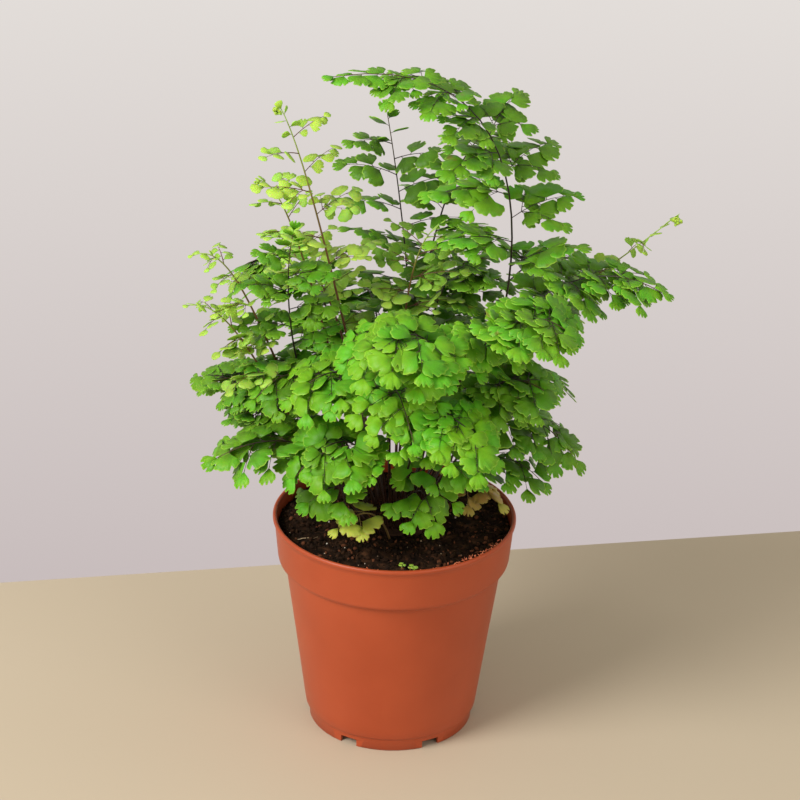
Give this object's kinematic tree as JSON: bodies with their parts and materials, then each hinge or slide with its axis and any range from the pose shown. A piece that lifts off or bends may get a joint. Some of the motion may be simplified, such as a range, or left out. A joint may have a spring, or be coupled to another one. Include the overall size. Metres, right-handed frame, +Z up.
{
  "type": "potted fern",
  "caption": "Living maidenhair fern with wiry stalks and fan-shaped leaflets, growing from a rhizome in a soil-filled tapered nursery pot.",
  "frame": {"origin": "centre of the pot's foot, on the surface that the pot stands on", "axes": "+Z up along the pot's axis, +X to the right and -Y towards the front, where the foliage leans out and hides the soil least"},
  "size_m": [0.2364, 0.2183, 0.3468],
  "materials": {
    "pot_plastic": "satin",
    "soil": "rough and crumbly",
    "rhizome": "rough",
    "foliage_mature": "soft satin",
    "foliage_young": "soft satin",
    "foliage_old": "dry matte"
  },
  "bodies": {
    "root": {"nursery_pot": "pot_plastic", "potting_soil": "soil", "rhizome": "rhizome", "frond_tall_arching": "foliage_mature", "frond_back_upright": "foliage_mature", "frond_young_left": "foliage_young", "frond_crozier_left": "foliage_young", "frond_far_left_upper": "foliage_young", "frond_far_left_lower": "foliage_young", "frond_left_slender": "foliage_mature", "frond_left_level": "foliage_mature", "frond_left_under": "foliage_mature", "frond_lower_left": "foliage_mature", "frond_right_long": "foliage_mature", "frond_right_rising": "foliage_young", "frond_front_upper": "foliage_mature", "frond_front_right": "foliage_mature", "frond_middle_right": "foliage_mature", "frond_right_low": "foliage_mature", "frond_right_lowest": "foliage_mature", "frond_front_low": "foliage_mature", "frond_front_low_left": "foliage_mature", "frond_centre_left": "foliage_mature", "frond_centre_upper": "foliage_young", "frond_back_tall": "foliage_mature", "frond_back_right": "foliage_mature", "frond_back_left": "foliage_mature", "frond_back_low": "foliage_mature", "frond_back_low_left": "foliage_mature", "frond_back_low_right": "foliage_mature", "frond_low_front": "foliage_mature", "frond_low_left": "foliage_mature", "old_frond_left": "foliage_old", "old_frond_right": "foliage_old", "frond_front_middle": "foliage_mature", "frond_low_middle": "foliage_mature", "frond_left_middle": "foliage_mature", "frond_centre_back": "foliage_mature", "frond_left_inner": "foliage_young", "frond_back_middle": "foliage_mature", "frond_back_inner_right": "foliage_mature", "frond_back_inner_left": "foliage_mature"}
  },
  "joints": []
}
